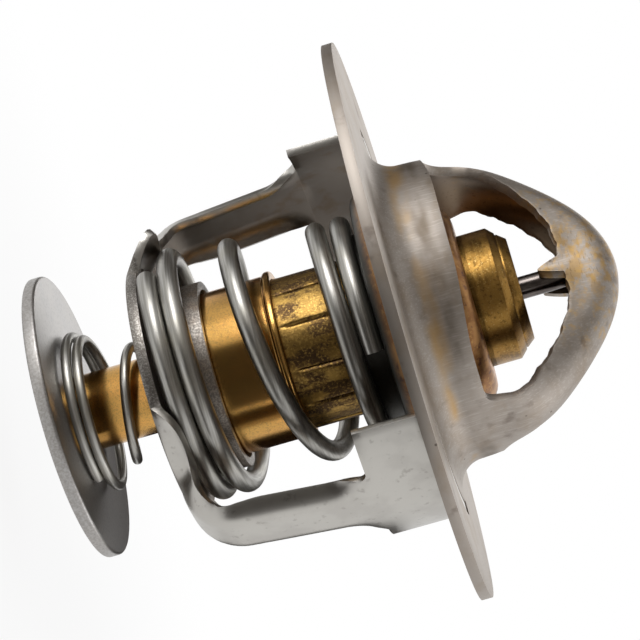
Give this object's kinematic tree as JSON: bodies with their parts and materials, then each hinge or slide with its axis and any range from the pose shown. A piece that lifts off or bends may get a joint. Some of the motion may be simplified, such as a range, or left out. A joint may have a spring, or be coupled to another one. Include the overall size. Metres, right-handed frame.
{
  "type": "engine thermostat",
  "caption": "Flanged coolant valve for an engine: a wax element pushes the sprung main valve open and closes a sprung bypass disc below.",
  "frame": {"origin": "centre of the flange's lower face, on the axis of the element", "axes": "+Z along the element's axis from the bypass disc to the bow; the bow and the cage's legs lie in the XZ plane"},
  "size_m": [0.054, 0.054, 0.0536],
  "materials": {
    "stainless_pressing": "satin, drawn",
    "stainless_cage": "satin, pressed",
    "pin_steel": "ground, dark",
    "spring_steel": "drawn wire",
    "copper_cup": "satin copper, drawn",
    "crimped_brass": "crimped, tarnished",
    "turned_brass": "turned, aged",
    "brown_valve_sheet": "brown heat-tinted sheet",
    "disc_steel": "satin, blanked",
    "rivet_steel": "satin",
    "wax": "dull",
    "washer_ptfe": "dull",
    "black_rubber": "dull"
  },
  "bodies": {
    "frame": {"seat_flange": "stainless_pressing", "cage": "stainless_cage", "piston_pin": "pin_steel", "main_spring": "spring_steel"},
    "element": {"valve_plate": "brown_valve_sheet", "crimp_sleeve": "crimped_brass", "guide_body": "turned_brass", "gland_cap": "turned_brass", "gland_seal": "black_rubber", "wax_cup": "copper_cup", "wax_charge": "wax", "diaphragm": "black_rubber", "rubber_plug": "black_rubber", "plug_washer": "washer_ptfe", "rivet_washer": "rivet_steel", "bypass_spring": "spring_steel"},
    "bypass": {"bypass_disc": "disc_steel"}
  },
  "joints": [
    {"name": "valve_lift", "type": "slide", "parent": "frame", "child": "element", "axis": [0, 0, -1], "range_m": [0, 0.008], "stiffness_N_per_m": 1500, "springref_m": -0.004, "deforming": ["main_spring"]},
    {"name": "bypass_slide", "type": "slide", "parent": "element", "child": "bypass", "axis": [0, 0, 1], "range_m": [0, 0.004], "stiffness_N_per_m": 400, "springref_m": -0.005, "deforming": ["bypass_spring"]}
  ]
}
